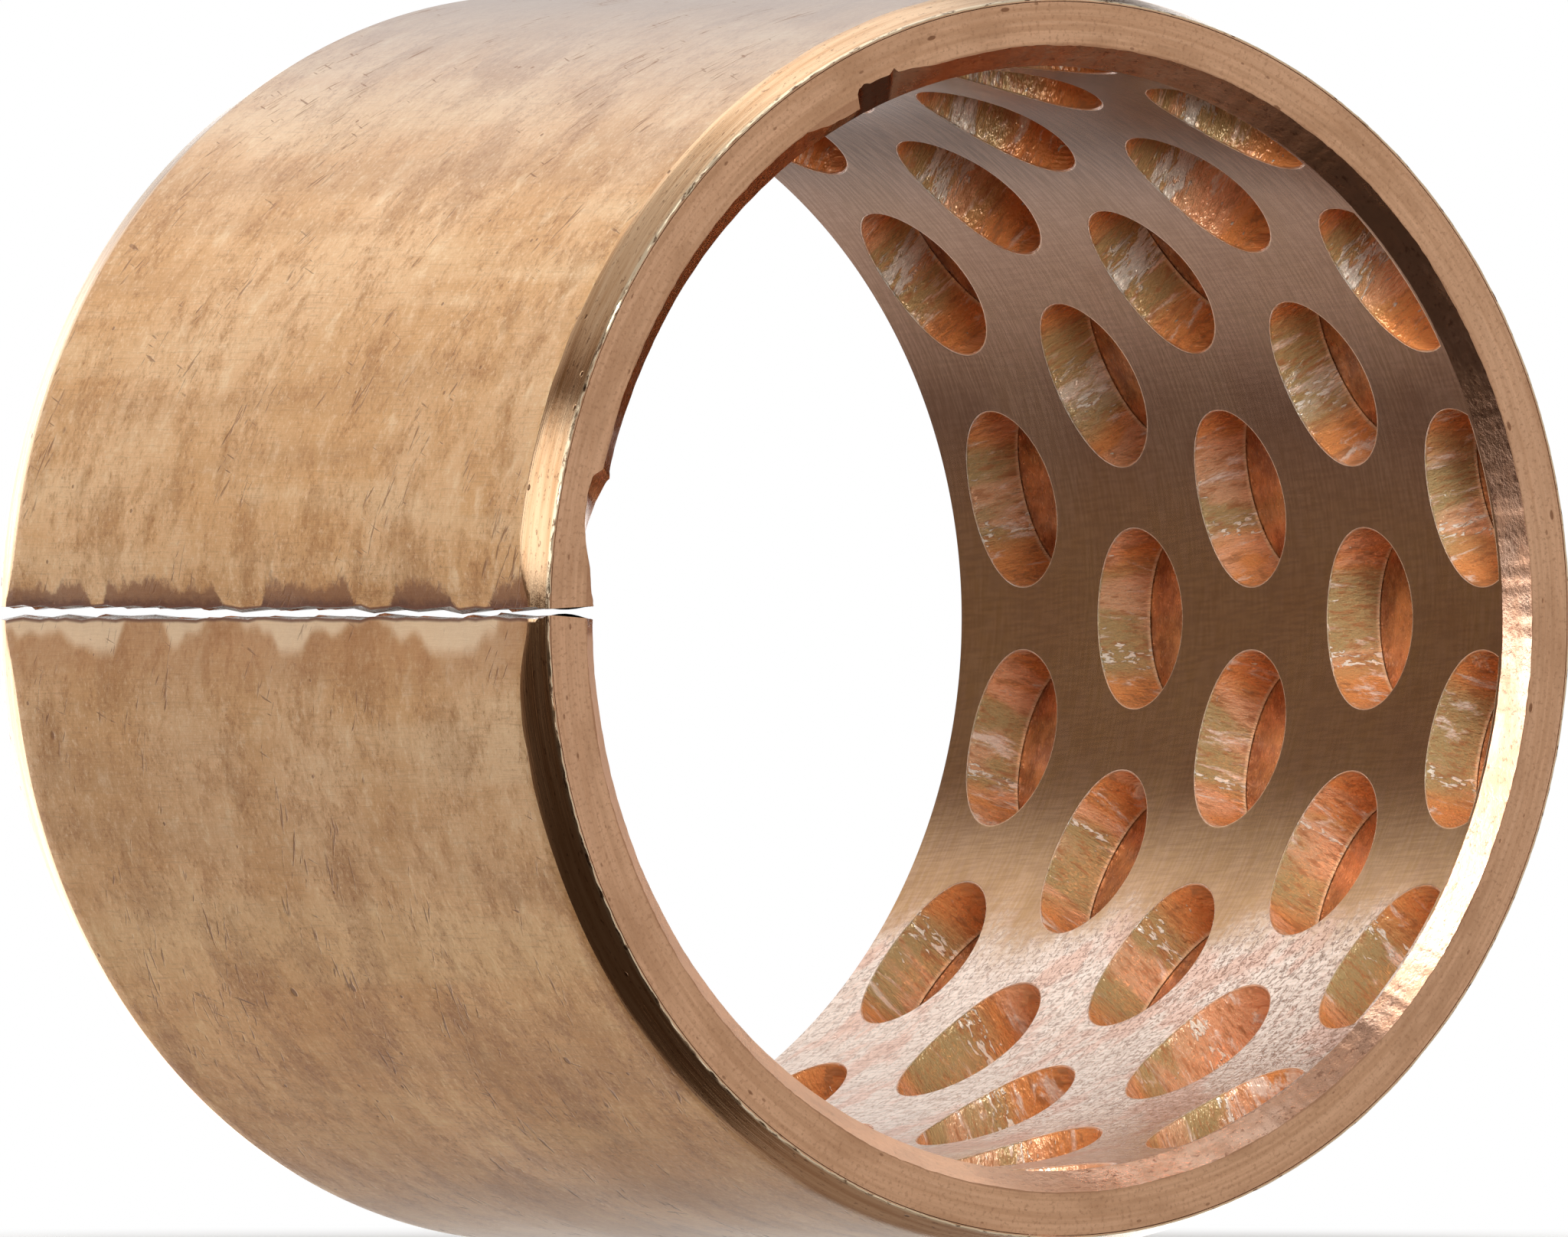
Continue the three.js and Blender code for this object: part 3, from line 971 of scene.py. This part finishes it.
def eased(value, low, high, top):
    """value eased from low..high to 0..top."""
    node = sky.nodes.new("ShaderNodeMapRange")
    node.interpolation_type = "SMOOTHSTEP"
    sky.links.new(value, node.inputs["Value"])
    node.inputs["From Min"].default_value = low
    node.inputs["From Max"].default_value = high
    node.inputs["To Max"].default_value = top
    return node.outputs["Result"]


split = sky.nodes.new("ShaderNodeSeparateXYZ")
sky.links.new(direction, split.inputs[0])
above = eased(split.outputs["Z"], 0.0, 0.06, 1.0)
well_above = eased(split.outputs["Z"], 0.05, 0.11, 1.0)
shares = {0: 1.0, 1: above, 2: well_above, -1: sky_math("SUBTRACT", 1.0, above)}
strength = TENT
for aim, full, fade, power, side in SOFT_BOXES:
    facing = sky.nodes.new("ShaderNodeVectorMath")
    facing.operation = "DOT_PRODUCT"
    sky.links.new(direction, facing.inputs[0])
    facing.inputs[1].default_value = Vector(aim).normalized()
    fade_cosine, full_cosine = math.cos(math.radians(fade)), math.cos(math.radians(full))
    near = eased(facing.outputs["Value"], fade_cosine, full_cosine, power)
    strength = sky_math("ADD", strength, sky_math("MULTIPLY", near, shares[side]))
tent = sky.nodes.new("ShaderNodeBackground")
sky.links.new(strength, tent.inputs["Strength"])
tint = sky.nodes.new("ShaderNodeMix")
tint.data_type = "RGBA"
sky.links.new(eased(strength, 0.05, 0.6, 1.0), tint.inputs["Factor"])
tint.inputs[6].default_value = (*WARM, 1)
tint.inputs[7].default_value = (1, 1, 1, 1)
sky.links.new(tint.outputs[2], tent.inputs["Color"])
backdrop = sky.nodes.new("ShaderNodeBackground")
backdrop.inputs["Color"].default_value = (1, 1, 1, 1)
choose = sky.nodes.new("ShaderNodeMixShader")
sky.links.new(sky.nodes.new("ShaderNodeLightPath").outputs["Is Camera Ray"], choose.inputs["Fac"])
sky.links.new(tent.outputs[0], choose.inputs[1])
sky.links.new(backdrop.outputs[0], choose.inputs[2])
sky.links.new(choose.outputs[0], sky.nodes.new("ShaderNodeOutputWorld").inputs["Surface"])


FLOOR_RADIUS = 0.3
FLOOR_POINTS = 96

# Distances from the middle of the bushing where the floor's shading starts and ends to fade
FLOOR_FADE = (0.016, 0.05)


def pale_floor():
    """A pale floor under the bushing that brightens into the white backdrop."""
    mesh = bpy.data.meshes.new("floor")
    rim = []
    for i in range(FLOOR_POINTS):
        turn = 2 * PI * i / FLOOR_POINTS
        rim.append((FLOOR_RADIUS * math.cos(turn), FLOOR_RADIUS * math.sin(turn), shell_low.z))
    mesh.from_pydata(rim, [], [tuple(range(FLOOR_POINTS))])
    floor = bpy.data.objects.new("floor", mesh)
    bpy.context.scene.collection.objects.link(floor)
    material = bpy.data.materials.new("pale_floor")
    material.use_nodes = True
    nodes = material.node_tree.nodes
    links = material.node_tree.links
    shader = nodes["Principled BSDF"]
    shader.inputs["Base Color"].default_value = (0.92, 0.92, 0.91, 1)
    shader.inputs["Roughness"].default_value = 0.7
    glow_white = nodes.new("ShaderNodeEmission")
    place_on = nodes.new("ShaderNodeTexCoord")
    length = nodes.new("ShaderNodeVectorMath")
    length.operation = "LENGTH"
    links.new(place_on.outputs["Object"], length.inputs[0])
    fade = nodes.new("ShaderNodeMapRange")
    fade.interpolation_type = "SMOOTHSTEP"
    fade.inputs["From Min"].default_value, fade.inputs["From Max"].default_value = FLOOR_FADE
    links.new(length.outputs["Value"], fade.inputs["Value"])
    blend = nodes.new("ShaderNodeMixShader")
    links.new(fade.outputs["Result"], blend.inputs["Fac"])
    links.new(shader.outputs[0], blend.inputs[1])
    links.new(glow_white.outputs[0], blend.inputs[2])
    links.new(blend.outputs[0], nodes["Material Output"].inputs["Surface"])
    mesh.materials.append(material)
    floor.visible_glossy = False
    floor.visible_diffuse = False


pale_floor()

# The photo's view: level, from 34.3 degrees beside the front, through a very long lens. The
# frame is 40 mm wide at the bushing
VIEW_TURN = math.radians(34.3)
FRAME_WIDTH = 40.0
SENSOR = 36.0
LENS = 1250.0
distance = FRAME_WIDTH * LENS / SENSOR * MM
camera_data = bpy.data.cameras.new("camera")
camera_data.sensor_width = SENSOR
camera_data.lens = LENS
camera = bpy.data.objects.new("camera", camera_data)
bpy.context.scene.collection.objects.link(camera)
toward = Vector((-math.sin(VIEW_TURN), -math.cos(VIEW_TURN), 0))
camera.location = toward * distance
camera.rotation_euler = (-toward).to_track_quat("-Z", "Y").to_euler()
bpy.context.scene.camera = camera
bpy.context.scene.view_settings.view_transform = "Standard"
